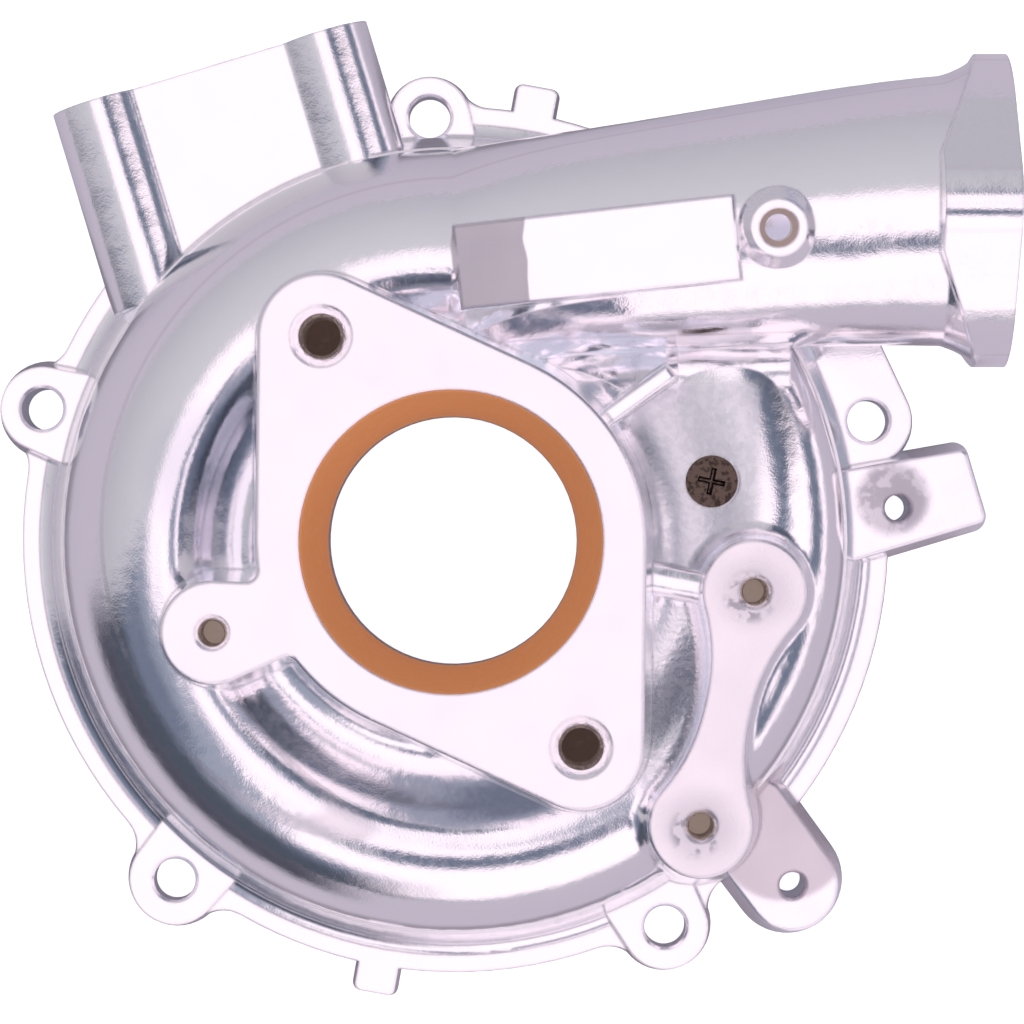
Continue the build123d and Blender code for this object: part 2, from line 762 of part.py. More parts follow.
def housing():
    body = rim() + scroll_wall() + scroll() + pipe() + pipe_fillet()
    body += outlet_flange()
    body += pad()
    body += plate_seat()
    body += port()
    body += inlet_flange()
    body = join_with_foot(body, link_pad(), LINK_FOOT_R, LINK_FOOT_Z)
    for rib in ribs():
        body += rib
    body += side_lug() + lower_lug() + right_ear()
    body -= passage()
    body -= pipe_bore()
    body -= inner_turning()
    tools = inlet_holes() + link_holes() + clear_holes() + outlet_bolt_holes() + pad_holes()
    for tool in tools:
        body -= tool
    body -= port_hole()
    body -= screw_seat()
    return body


PARTS = {
    "housing": housing(),
    "plug_screw": plug_screw(),
}

for name, solid in PARTS.items():
    export_step(solid, f"parts/{name}.step")
    print(name, len(solid.solids()), "solid,", round(solid.volume / 1000, 2), "cm3", solid.is_valid)
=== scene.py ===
import math

import bmesh
import bpy
from bpy.props import FloatProperty, FloatVectorProperty, PointerProperty
from mathutils import Matrix, Vector


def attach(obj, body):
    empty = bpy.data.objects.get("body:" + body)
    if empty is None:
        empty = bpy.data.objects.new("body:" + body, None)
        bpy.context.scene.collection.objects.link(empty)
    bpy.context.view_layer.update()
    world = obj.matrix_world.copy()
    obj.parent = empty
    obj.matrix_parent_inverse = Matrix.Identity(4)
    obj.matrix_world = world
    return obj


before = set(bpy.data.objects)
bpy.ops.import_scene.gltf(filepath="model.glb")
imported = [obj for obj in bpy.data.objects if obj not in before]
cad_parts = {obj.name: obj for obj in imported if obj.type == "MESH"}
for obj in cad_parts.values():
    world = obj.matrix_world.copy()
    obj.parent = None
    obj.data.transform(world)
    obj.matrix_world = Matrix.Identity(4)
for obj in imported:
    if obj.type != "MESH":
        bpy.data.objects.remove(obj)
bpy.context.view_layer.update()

bl_info = {
    "name": "Turbo compressor housing",
    "version": (1, 0, 0),
    "blender": (4, 5, 0),
    "location": "View3D > Sidebar > Housing",
    "description": "Finishes a polished compressor housing and its screw, and sets up the studio",
    "category": "Object",
}

MM = 0.001

# Places on the housing, in millimetres, as the casting has them
INLET_FACE_Z = 60.0
INLET_BOLT_R = 37.5
INLET_BOLT_ANGLE = 122.3
SIDE_EAR = (-36.8, -14.0)
LINK_TOP = (47.8, -8.0)
LINK_PITCH = 38.0
LINK_ANGLE = 257.0
LINK_FACE_Z = 40.0
OUTLET_FACE = (88.0, 52.7, 31.0)
OUTLET_BOLT_R = 23.0
PAD_CENTRE = (-39.9, 76.9, 14.5)
PAD_TURN = 16.8
PAD_BOLT_R = 19.0
# The middle of the port's bore, on the pipe, and a radius that takes in its wall and bottom
PORT_BORE = (50.9, 49.2, 46.6)
PORT_REACH = 4.7
# The plate seat's middle and its turn in degrees
PLATE_CENTRE = (22.6, 45.2, 0.0)
PLATE_TURN = 6.1
# Tapped holes
LARGE_DRILL_R = 3.4
LARGE_DEPTH = 17.0
SMALL_DRILL_R = 2.1
SMALL_DEPTH = 11.0
OUTLET_DEPTH = 8.5
THREAD_START = 1.6
UP = (0.0, 0.0, 1.0)


def polar(radius, angle):
    turn = math.radians(angle)
    return (radius * math.cos(turn), radius * math.sin(turn))


# Sizes and colours that a user would change
class HousingSizes(bpy.types.PropertyGroup):
    large_pitch: FloatProperty(
        name="Large thread pitch", description="Pitch of the flange threads",
        default=1.25 * MM, unit="LENGTH", precision=5)
    small_pitch: FloatProperty(
        name="Small thread pitch", description="Pitch of the small threads",
        default=0.8 * MM, unit="LENGTH", precision=5)
    edge_radius: FloatProperty(
        name="Edge rounding", description="Radius that the finish gives to the casting's edges",
        default=0.55 * MM, unit="LENGTH", precision=5)
    ripple_depth: FloatProperty(
        name="Ripple depth", description="Depth of the waves left by casting and polishing",
        default=0.10 * MM, unit="LENGTH", precision=6)
    grain_depth: FloatProperty(
        name="Grain depth", description="Depth of the fine grain of the polished skin",
        default=0.012 * MM, unit="LENGTH", precision=6)


class HousingColours(bpy.types.PropertyGroup):
    aluminium: FloatVectorProperty(
        name="Aluminium", description="Colour of the polished casting",
        subtype="COLOR", size=3, min=0, max=1, default=(0.93, 0.90, 0.92))
    # Painted reflection: the bore wall's bronze tone stands in for orange-brown surroundings mirrored in
    # it, and it also sets the bore's painted glow
    bore_painted_light: FloatVectorProperty(
        name="Bore wall", description="Bronze tone of the converging inlet wall",
        subtype="COLOR", size=3, min=0, max=1, default=(0.60, 0.25, 0.085))
    stain: FloatVectorProperty(
        name="Stain", description="Grey of the handling marks and of dull, bare metal",
        subtype="COLOR", size=3, min=0, max=1, default=(0.58, 0.54, 0.57))
    satin: FloatVectorProperty(
        name="Satin metal", description="Tone of the unpolished lug and link pad",
        subtype="COLOR", size=3, min=0, max=1, default=(0.78, 0.70, 0.73))
    # Painted shade: a darker, bluish grey laid into the valley and over the web, where their reflections
    # are dark
    painted_shade_tone: FloatVectorProperty(
        name="Tarnish", description="Tone of the recesses that the polishing missed",
        subtype="COLOR", size=3, min=0, max=1, default=(0.50, 0.52, 0.60))
    hole: FloatVectorProperty(
        name="Tapped holes", description="Brown grey of the drilled walls",
        subtype="COLOR", size=3, min=0, max=1, default=(0.50, 0.41, 0.37))
    screw: FloatVectorProperty(
        name="Screw", description="Brown of the passivated screw",
        subtype="COLOR", size=3, min=0, max=1, default=(0.13, 0.095, 0.075))
    floor: FloatVectorProperty(
        name="Floor", description="Colour of the plain floor",
        subtype="COLOR", size=3, min=0, max=1, default=(0.93, 0.93, 0.93))


class StudioSettings(bpy.types.PropertyGroup):
    camera_height: FloatProperty(
        name="Camera height", description="Height of the camera above the floor",
        default=0.8, unit="LENGTH")
    focal_length: FloatProperty(
        name="Focal length", description="Focal length in millimetres on a 36 mm sensor",
        default=169.2)
    floor_glow: FloatProperty(
        name="Floor light", description="Light that the floor gives off, as paper lit from below",
        default=0.85)
    light: FloatProperty(
        name="Light", description="Strength of the studio light", default=1.0)


# Small helpers for node trees
def add_node(tree, kind, values=None, **settings):
    """New node with its settings, and its inputs set or linked."""
    node = tree.nodes.new(kind)
    for key, value in settings.items():
        setattr(node, key, value)
    for key, value in (values or {}).items():
        if isinstance(value, bpy.types.NodeSocket):
            tree.links.new(value, node.inputs[key])
        else:
            node.inputs[key].default_value = value
    return node


def calc(tree, operation, *values, clamp=False):
    """Math node's result."""
    node = add_node(
        tree, "ShaderNodeMath", dict(enumerate(values)), operation=operation, use_clamp=clamp)
    return node.outputs[0]


def ramp_between(tree, value, low, high):
    """0 below low and 1 above high, with a soft step between; high may be the lower one."""
    node = add_node(
        tree, "ShaderNodeMapRange",
        {"Value": value, "From Min": low, "From Max": high},
        interpolation_type="SMOOTHSTEP")
    return node.outputs["Result"]


def blend_colours(tree, factor, first, second):
    node = add_node(tree, "ShaderNodeMix", data_type="RGBA")
    for socket, value in ((node.inputs[0], factor), (node.inputs[6], first), (node.inputs[7], second)):
        if isinstance(value, bpy.types.NodeSocket):
            tree.links.new(value, socket)
        else:
            socket.default_value = value
    return node.outputs[2]


def rgba(colour, gain=1.0):
    return tuple(channel * gain for channel in colour) + (1.0,)


def new_group(name, inputs, outputs):
    """Shader node group with float and vector inputs and outputs."""
    tree = bpy.data.node_groups.new(name, "ShaderNodeTree")
    for label, kind, default in inputs:
        socket = tree.interface.new_socket(label, in_out="INPUT", socket_type=kind)
        if default is not None:
            socket.default_value = default
    for label, kind in outputs:
        tree.interface.new_socket(label, in_out="OUTPUT", socket_type=kind)
    return tree, tree.nodes.new("NodeGroupInput"), tree.nodes.new("NodeGroupOutput")


def place_group(tree, group, values):
    return add_node(tree, "ShaderNodeGroup", values, node_tree=group)


def new_material(name):
    material = bpy.data.materials.new(name)
    material.use_nodes = True
    # Bounces find the glow by themselves; as lamps, the thousands of glowing faces slow the render down
    material.cycles.emission_sampling = "NONE"
    tree = material.node_tree
    tree.nodes.clear()
    shader = tree.nodes.new("ShaderNodeBsdfPrincipled")
    output = tree.nodes.new("ShaderNodeOutputMaterial")
    tree.links.new(shader.outputs[0], output.inputs["Surface"])
    return material, tree, shader


def object_position(tree):
    """Place on the housing in millimetres."""
    coordinates = tree.nodes.new("ShaderNodeTexCoord")
    scaled = add_node(
        tree, "ShaderNodeVectorMath",
        {0: coordinates.outputs["Object"], 1: (1000.0, 1000.0, 1000.0)},
        operation="MULTIPLY")
    return scaled.outputs[0]


# Effects shared by the materials
def edge_group():
    """Rounded shading at the edges, and a mask of the edges."""
    tree, entry, leave = new_group(
        "rounded_edges",
        [("Radius", "NodeSocketFloat", 0.0005)],
        [("Normal", "NodeSocketVector"), ("Edge", "NodeSocketFloat")])
    bevel = add_node(tree, "ShaderNodeBevel", {"Radius": entry.outputs["Radius"]}, samples=3)
    surface = tree.nodes.new("ShaderNodeNewGeometry")
    alike = add_node(
        tree, "ShaderNodeVectorMath", {0: bevel.outputs[0], 1: surface.outputs["Normal"]},
        operation="DOT_PRODUCT")
    edge = ramp_between(tree, alike.outputs["Value"], 0.995, 0.90)
    tree.links.new(bevel.outputs[0], leave.inputs["Normal"])
    tree.links.new(edge, leave.inputs["Edge"])
    return tree


def ripple_group():
    """Shallow waves in the skin, large and small, that break up reflections."""
    tree, entry, leave = new_group(
        "cast_ripple",
        [("Position", "NodeSocketVector", None), ("Size", "NodeSocketFloat", 7.0),
         ("Fine share", "NodeSocketFloat", 0.25)],
        [("Height", "NodeSocketFloat"), ("Patch", "NodeSocketFloat")])
    scale = calc(tree, "DIVIDE", 1.0, entry.outputs["Size"])
    wide = add_node(
        tree, "ShaderNodeTexNoise",
        {"Vector": entry.outputs["Position"], "Scale": scale, "Detail": 1.0, "Roughness": 0.45})
    fine = add_node(
        tree, "ShaderNodeTexNoise",
        {"Vector": entry.outputs["Position"], "Scale": calc(tree, "MULTIPLY", scale, 4.5),
         "Detail": 1.0, "Roughness": 0.55})
    share = calc(tree, "MULTIPLY", fine.outputs["Fac"], entry.outputs["Fine share"])
    height = calc(tree, "ADD", wide.outputs["Fac"], share)
    tree.links.new(height, leave.inputs["Height"])
    tree.links.new(wide.outputs["Fac"], leave.inputs["Patch"])
    return tree


def grain_group():
    """Fine grain of a polished casting."""
    tree, entry, leave = new_group(
        "skin_grain",
        [("Position", "NodeSocketVector", None), ("Size", "NodeSocketFloat", 0.35)],
        [("Height", "NodeSocketFloat")])
    grain = add_node(
        tree, "ShaderNodeTexNoise",
        {"Vector": entry.outputs["Position"], "Scale": calc(tree, "DIVIDE", 1.0, entry.outputs["Size"]),
         "Detail": 1.0, "Roughness": 0.6})
    tree.links.new(grain.outputs["Fac"], leave.inputs["Height"])
    return tree


def smudge_group():
    """Ragged patches of handling dirt and stain."""
    tree, entry, leave = new_group(
        "smudges",
        [("Position", "NodeSocketVector", None), ("Size", "NodeSocketFloat", 3.0),
         ("Cover", "NodeSocketFloat", 0.5)],
        [("Mask", "NodeSocketFloat")])
    scale = calc(tree, "DIVIDE", 1.0, entry.outputs["Size"])
    cloud = add_node(
        tree, "ShaderNodeTexNoise",
        {"Vector": entry.outputs["Position"], "Scale": scale, "Detail": 3.0, "Roughness": 0.55})
    level = calc(tree, "SUBTRACT", 1.0, entry.outputs["Cover"])
    mask = add_node(
        tree, "ShaderNodeMapRange",
        {"Value": cloud.outputs["Fac"], "From Min": calc(tree, "SUBTRACT", level, 0.06),
         "From Max": calc(tree, "ADD", level, 0.06)},
        interpolation_type="SMOOTHSTEP")
    tree.links.new(mask.outputs["Result"], leave.inputs["Mask"])
    return tree


def shared(name):
    """Node group by name, built on its first use."""
    makers = {
        "rounded_edges": edge_group,
        "cast_ripple": ripple_group,
        "skin_grain": grain_group,
        "smudges": smudge_group,
    }
    return bpy.data.node_groups.get(name) or makers[name]()


def near(tree, position, centre, inner, outer):
    """1 within the inner distance of a point, 0 beyond the outer one."""
    away = add_node(tree, "ShaderNodeVectorMath", {0: position, 1: centre}, operation="DISTANCE")
    return ramp_between(tree, away.outputs["Value"], outer, inner)


def within(tree, value, low, high, soft):
    """1 between two values, with soft ends."""
    above = ramp_between(tree, value, low - soft, low + soft)
    below = ramp_between(tree, value, high + soft, high - soft)
    return calc(tree, "MULTIPLY", above, below)


def in_box(tree, axes, box, soft):
    """1 inside a box of (low, high) pairs along x, y and z, with soft sides."""
    inside = 1.0
    for value, (low, high) in zip(axes, box):
        inside = calc(tree, "MULTIPLY", inside, within(tree, value, low, high, soft))
    return inside


def largest(tree, values):
    result = values[0]
    for value in values[1:]:
        result = calc(tree, "MAXIMUM", result, value)
    return result


# How far outside its drill radius a hole's wall still counts as drilled
SHAFT_MARGIN = 0.08


def in_shafts(tree, flat, mouths, radius):
    """1 on the walls of upright drilled holes, by the distance from their axes."""
    away = None
    for x, y, _ in mouths:
        reach = add_node(tree, "ShaderNodeVectorMath", {0: flat, 1: (x, y, 0.0)}, operation="DISTANCE")
        away = calc(tree, "MINIMUM", away, reach.outputs["Value"]) if away else reach.outputs["Value"]
    return calc(tree, "LESS_THAN", away, radius + SHAFT_MARGIN)


# Light of the reflections in reflections, and the number of bounces that it starts from
DEEP_LIGHT = (0.26, 0.28, 0.33)
DEEP_FROM = 2.5


def light_deep_bounces(tree, shader, glow):
    """Painted glow given to the surface, and light for the reflections in reflections that the renderer
    leaves out.
    """
    path = tree.nodes.new("ShaderNodeLightPath")
    deep = calc(tree, "GREATER_THAN", path.outputs["Ray Depth"], DEEP_FROM)
    light = blend_colours(tree, deep, glow, rgba(DEEP_LIGHT))
    tree.links.new(light, shader.inputs["Emission Color"])
    shader.inputs["Emission Strength"].default_value = 1.0


# Places on the casting with a finish of their own, in millimetres along x, y and z
SATIN_WEB = ((28.0, 49.0), (-5.0, 25.5), (24.0, 33.5))
ROUGH_POCKET = ((29.5, 40.5), (-40.0, -10.0), (20.0, 37.5))
# The dull end of the plate seat, along and across the plate
DULL_SEAT = ((-22.4, -10.9), (-6.5, 6.5), (44.0, 52.0))
# Round places: the middle of each, and the distances that its finish fades over; in the valley that is
# painted shade
SATIN_LUG = (53.5, -47.5, 15.0)
SATIN_LUG_REACH = (10.5, 12.0)
SHADED_VALLEY = (-35.0, 10.0, 36.0)
VALLEY_REACH = (12.0, 17.0)
SMUDGED_LUG = (71.6, 6.8, 14.0)
LUG_SMUDGE_REACH = (4.6, 7.0)
# Round the holes of the link pad: an even halo, and a smudge beside its middle
HALO_REACH = (2.6, 8.0)
SMUDGE_REACH = (2.4, 4.8)
SMUDGE_SHIFT = -0.8
# The inlet wall that takes a painted bronze reflection and a painted glow: its radii, from the outside
# inwards, and its heights
BORE_RADII = (23.75, 23.45)
BORE_HEIGHTS = (33.9, 59.75)
# How squarely a face looks up where it counts as milled flat
LEVEL = (0.985, 0.998)
# How much of the satin finish the lower lug, the link pad and the inlet face have
SATIN_SHARES = (0.9, 0.42, 0.2)

# What each finish adds to the roughness of the polish
ROUGHER = {
    "in_bore": 0.35,
    "dull": 0.25,
    "satin": 0.25,
    "web": 0.24,
    "pocket": 0.16,
    "drilled": 0.25,
    "haze": 0.05,
    "level": 0.05,
}


def casting_masks(tree, position, patch, stains, mottle):
    """Where the casting has each finish, by its name."""
    axes = list(add_node(tree, "ShaderNodeSeparateXYZ", {0: position}).outputs)
    x, y, z = axes
    flat = add_node(tree, "ShaderNodeCombineXYZ", {0: x, 1: y, 2: 0.0}).outputs[0]
    radius = add_node(tree, "ShaderNodeVectorMath", {0: flat}, operation="LENGTH").outputs["Value"]
    masks = {}

    surface = tree.nodes.new("ShaderNodeNewGeometry")
    facing = add_node(tree, "ShaderNodeSeparateXYZ", {0: surface.outputs["Normal"]}).outputs[2]
    masks["level"] = ramp_between(tree, facing, *LEVEL)
    masks["haze"] = calc(tree, "MULTIPLY", mottle, calc(tree, "SUBTRACT", 1.0, masks["level"]))

    masks["in_bore"] = calc(
        tree, "MULTIPLY", ramp_between(tree, radius, *BORE_RADII),
        within(tree, z, *BORE_HEIGHTS, 0.15))
    upright = [hole for hole in tapped_holes() if hole["out"] == UP]
    large_holes, small_holes = (
        in_shafts(tree, flat, [hole["mouth"] for hole in upright if hole["drill_r"] == drill_r], drill_r)
        for drill_r in (LARGE_DRILL_R, SMALL_DRILL_R))
    port = near(tree, position, PORT_BORE, PORT_REACH, PORT_REACH + 0.2)
    masks["small_holes"] = calc(tree, "MAXIMUM", small_holes, port)
    masks["drilled"] = calc(tree, "MAXIMUM", large_holes, masks["small_holes"])

    masks["web"] = in_box(tree, axes, SATIN_WEB, 1.2)
    masks["pocket"] = in_box(tree, axes, ROUGH_POCKET, 1.0)
    masks["valley"] = near(tree, position, SHADED_VALLEY, *VALLEY_REACH)

    from_plate = add_node(
        tree, "ShaderNodeVectorMath", {0: position, 1: PLATE_CENTRE}, operation="SUBTRACT",
    ).outputs[0]
    along, across = (
        add_node(tree, "ShaderNodeVectorMath", {0: from_plate, 1: (*polar(1.0, turn), 0.0)},
                 operation="DOT_PRODUCT").outputs["Value"]
        for turn in (PLATE_TURN, PLATE_TURN + 90))
    ragged = calc(tree, "MULTIPLY_ADD", patch, 3.0, calc(tree, "SUBTRACT", along, 1.5))
    seat = in_box(tree, (ragged, across, z), DULL_SEAT, 0.3)

    dx, dy = polar(LINK_PITCH, LINK_ANGLE)
    link_holes = (LINK_TOP, (LINK_TOP[0] + dx, LINK_TOP[1] + dy))
    halo, smudge = (
        largest(tree, [
            near(tree, position, (hole_x + shift, hole_y + shift, LINK_FACE_Z), *reach)
            for hole_x, hole_y in link_holes])
        for shift, reach in ((0.0, HALO_REACH), (SMUDGE_SHIFT, SMUDGE_REACH)))
    smudge = calc(tree, "MULTIPLY", smudge, stains)
    soiled = calc(tree, "MULTIPLY_ADD", halo, 0.30, smudge, clamp=True)
    lug = near(tree, position, SMUDGED_LUG, *LUG_SMUDGE_REACH)
    lug = calc(tree, "MULTIPLY", lug, calc(tree, "MULTIPLY_ADD", stains, 0.35, 0.65))
    masks["dull"] = largest(tree, [soiled, seat, lug])

    link_pad, inlet_face = (
        within(tree, z, face_z - 0.3, face_z + 0.3, 0.1) for face_z in (LINK_FACE_Z, INLET_FACE_Z))
    lower_lug = near(tree, position, SATIN_LUG, *SATIN_LUG_REACH)
    masks["satin"] = largest(tree, [
        calc(tree, "MULTIPLY", place, share)
        for place, share in zip((lower_lug, link_pad, inlet_face), SATIN_SHARES)])
    return masks


def casting_material(sizes, colours):
    """Polished aluminium with ripples, grain and stains, a painted bronze reflection and glow on the
    inlet wall, and painted shade in the valley and on the web.
    """
    material, tree, shader = new_material("polished_casting")
    position = object_position(tree)
    ripple = place_group(
        tree, shared("cast_ripple"), {"Position": position, "Size": 7.0, "Fine share": 0.22})
    grain, coarse = (
        place_group(tree, shared("skin_grain"), {"Position": position, "Size": size})
        for size in (0.35, 0.9))
    edges = place_group(tree, shared("rounded_edges"), {"Radius": sizes.edge_radius})
    stains, mottle = (
        place_group(
            tree, shared("smudges"), {"Position": position, "Size": size, "Cover": 0.5},
        ).outputs["Mask"]
        for size in (2.6, 1.3))
    masks = casting_masks(tree, position, ripple.outputs["Patch"], stains, mottle)

    # Painted shade: the web, in mottled patches, and the valley are darkened towards a bluish grey
    web_painted_shade = calc(tree, "MULTIPLY", masks["web"], calc(tree, "MULTIPLY_ADD", mottle, 0.12, 0.05))
    colour = rgba(colours.aluminium)
    for factor, tone in (
            (masks["satin"], colours.satin),
            (calc(tree, "MULTIPLY", masks["valley"], 0.35), colours.painted_shade_tone),
            (masks["dull"], colours.stain),
            (web_painted_shade, colours.painted_shade_tone),
            (masks["drilled"], colours.hole),
            (masks["in_bore"], colours.bore_painted_light)):
        colour = blend_colours(tree, factor, colour, rgba(tone))
    tree.links.new(colour, shader.inputs["Base Color"])

    rough = calc(tree, "MULTIPLY_ADD", ripple.outputs["Patch"], 0.11, 0.03)
    for name, gain in ROUGHER.items():
        rough = calc(tree, "MULTIPLY_ADD", masks[name], gain, rough)
    tree.links.new(rough, shader.inputs["Roughness"])
    metal = calc(tree, "MULTIPLY_ADD", masks["in_bore"], -0.8, 1.0)
    metal = calc(tree, "MULTIPLY_ADD", masks["drilled"], -0.5, metal)
    tree.links.new(metal, shader.inputs["Metallic"])

    wavy = calc(tree, "SUBTRACT", 1.0, calc(tree, "MAXIMUM", masks["level"], masks["in_bore"]))
    wavy = calc(tree, "MULTIPLY_ADD", wavy, 0.85, 0.15)
    waves = calc(tree, "MULTIPLY", ripple.outputs["Height"], wavy)
    bump = add_node(
        tree, "ShaderNodeBump",
        {"Strength": 1.0, "Distance": sizes.ripple_depth, "Height": waves,
         "Normal": edges.outputs["Normal"]})
    as_cast = calc(tree, "MULTIPLY_ADD", masks["web"], 0.5, masks["pocket"])
    skin = calc(
        tree, "MULTIPLY_ADD", calc(tree, "MULTIPLY", coarse.outputs["Height"], as_cast), 5.0,
        grain.outputs["Height"])
    fine = add_node(
        tree, "ShaderNodeBump",
        {"Strength": 1.0, "Distance": sizes.grain_depth, "Height": skin, "Normal": bump.outputs[0]})
    tree.links.new(fine.outputs[0], shader.inputs["Normal"])

    # Painted glow: the small holes give off a faint brown light of their own
    glow = blend_colours(tree, masks["small_holes"], rgba((0, 0, 0)), rgba(colours.hole, 0.30))
    # Painted glow: the bore wall gives off bronze light of its own
    glow = blend_colours(tree, masks["in_bore"], glow, rgba(colours.bore_painted_light, 0.4))
    light_deep_bounces(tree, shader, glow)
    return material


def screw_material(colours):
    """Brown passivated steel, lighter at its edges."""
    material, tree, shader = new_material("brown_screw")
    position = object_position(tree)
    grain = place_group(tree, shared("skin_grain"), {"Position": position, "Size": 0.18})
    edges = place_group(tree, shared("rounded_edges"), {"Radius": 0.12 * MM})
    stains = place_group(tree, shared("smudges"), {"Position": position, "Size": 0.9, "Cover": 0.45})
    colour = blend_colours(
        tree, stains.outputs["Mask"], rgba(colours.screw), rgba(colours.screw, 0.55))
    colour = blend_colours(tree, edges.outputs["Edge"], colour, rgba(colours.screw, 2.2))
    tree.links.new(colour, shader.inputs["Base Color"])
    rough = calc(tree, "MULTIPLY_ADD", stains.outputs["Mask"], 0.15, 0.32)
    tree.links.new(rough, shader.inputs["Roughness"])
    bump = add_node(
        tree, "ShaderNodeBump",
        {"Strength": 1.0, "Distance": 0.02 * MM, "Height": grain.outputs["Height"],
         "Normal": edges.outputs["Normal"]})
    tree.links.new(bump.outputs[0], shader.inputs["Normal"])
    shader.inputs["Metallic"].default_value = 1.0
    return material


def thread_material(colours):
    """Bare cut thread with a film of oil and dust, and a faint painted glow."""
    material, tree, shader = new_material("cut_thread")
    position = object_position(tree)
    stains = place_group(tree, shared("smudges"), {"Position": position, "Size": 1.1, "Cover": 0.5})
    colour = blend_colours(tree, stains.outputs["Mask"], rgba(colours.hole), rgba(colours.hole, 0.5))
    tree.links.new(colour, shader.inputs["Base Color"])
    rough = calc(tree, "MULTIPLY_ADD", stains.outputs["Mask"], 0.2, 0.28)
    tree.links.new(rough, shader.inputs["Roughness"])
    shader.inputs["Metallic"].default_value = 0.7
    # Painted glow: the thread gives off a faint light of its own
    light_deep_bounces(tree, shader, rgba(colours.hole, 0.08))
    return material


# Paper in reflections, with painted shade: darker at the foot of the part, pale round it, and dark in
# the shade of the dark screen. The fades are distances in millimetres, and shares of the way to the dark
# side.
FLOOR_FOOT_SHADE = (0.50, 0.48, 0.51)
FLOOR_NEAR = (0.84, 0.82, 0.86)
FLOOR_SHADE = (0.09, 0.10, 0.13)
FOOT_FADE = (78.0, 92.0)
SHADE_FADE = (112.0, 180.0)
DARK_SIDE = (-0.74, -0.67, 0.0)
DARK_FADE = (0.80, 0.92)


def floor_material(colours, glow):
    """Plain pale paper, dimmer where the metal mirrors it, with painted shade at the part's foot and on
    its far side.
    """
    material, tree, shader = new_material("pale_floor")
    position = object_position(tree)
    grain = place_group(tree, shared("skin_grain"), {"Position": position, "Size": 1.5})
    paper = blend_colours(
        tree, calc(tree, "MULTIPLY", grain.outputs["Height"], 0.06),
        rgba(colours.floor), rgba(colours.floor, 0.9))
    far = add_node(tree, "ShaderNodeVectorMath", {0: position}, operation="LENGTH").outputs["Value"]
    side = add_node(tree, "ShaderNodeVectorMath", {0: position, 1: DARK_SIDE}, operation="DOT_PRODUCT")
    aligned = calc(tree, "DIVIDE", side.outputs["Value"], far)
    shade = calc(
        tree, "MULTIPLY", ramp_between(tree, far, *SHADE_FADE),
        ramp_between(tree, aligned, *DARK_FADE))
    # Painted shade that only reflections see: darker paper at the part's foot and on the dark side
    mirrored = blend_colours(
        tree, ramp_between(tree, far, *FOOT_FADE), rgba(FLOOR_FOOT_SHADE), rgba(FLOOR_NEAR))
    mirrored = blend_colours(tree, shade, mirrored, rgba(FLOOR_SHADE))
    seen = tree.nodes.new("ShaderNodeLightPath").outputs["Is Camera Ray"]
    tree.links.new(blend_colours(tree, seen, mirrored, paper), shader.inputs["Base Color"])
    lit = blend_colours(tree, seen, rgba((0, 0, 0)), rgba((1, 1, 1)))
    tree.links.new(lit, shader.inputs["Emission Color"])
    shader.inputs["Roughness"].default_value = 0.9
    shader.inputs["Emission Strength"].default_value = glow
    return material


# Pieces
def finish_piece(mesh_builder, name, material):
    """Object from a bmesh, at the origin, that rides on the part."""
    mesh = bpy.data.meshes.new(name)
    mesh_builder.to_mesh(mesh)
    mesh_builder.free()
    mesh.materials.append(material)
    piece = bpy.data.objects.new(name, mesh)
    bpy.context.scene.collection.objects.link(piece)
    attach(piece, "root")
    return piece


def dress(node, material):
    """Gives one of the part's own solids its finish."""
    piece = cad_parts[node]
    piece.data.materials.clear()
    piece.data.materials.append(material)


# Thread ridge, as shares of the pitch: how far it stands in, and how long a flank and its crest are
RIDGE_RISE = 0.31
RIDGE_FLANK = 0.34
RIDGE_CREST = 0.119
# How far the ridge reaches into the drilled wall, and its steps in a turn
RIDGE_SINK = 0.04 * MM
RIDGE_STEPS = 28


def thread_ring(drill_r, depth, pitch, start, place):
    """Helical ridge of a tapped hole, from just below its mouth down to its depth."""
    ridge = bmesh.new()
    flank = RIDGE_FLANK * pitch
    outer = drill_r + RIDGE_SINK
    crest = drill_r - RIDGE_RISE * pitch
    corners = [
        ridge.verts.new((outer, 0, -start)),
        ridge.verts.new((crest, 0, -start - flank)),
        ridge.verts.new((crest, 0, -start - flank - RIDGE_CREST * pitch)),
        ridge.verts.new((outer, 0, -start - 2 * flank - RIDGE_CREST * pitch)),
    ]
    profile = [ridge.edges.new((corners[i], corners[(i + 1) % 4])) for i in range(4)]
    turns = int((depth - start) / pitch) - 1
    spun = bmesh.ops.spin(
        ridge, geom=corners + profile, cent=(0, 0, 0), axis=(0, 0, 1),
        dvec=(0, 0, -pitch / RIDGE_STEPS), angle=2 * math.pi * turns, steps=RIDGE_STEPS * turns,
        use_merge=False, use_duplicate=False)
    last = [item for item in spun["geom_last"] if isinstance(item, bmesh.types.BMEdge)]
    for end in (profile, last):
        bmesh.ops.contextual_create(ridge, geom=end)
    bmesh.ops.recalc_face_normals(ridge, faces=ridge.faces)
    bmesh.ops.transform(ridge, matrix=place, verts=ridge.verts)
    for face in ridge.faces:
        face.smooth = False
    return ridge


def hole_place(point, direction):
    """Matrix that stands a hole's axis at a point in millimetres."""
    turn = Vector(UP).rotation_difference(Vector(direction)).to_matrix().to_4x4()
    return Matrix.Translation(Vector(point) * MM) @ turn


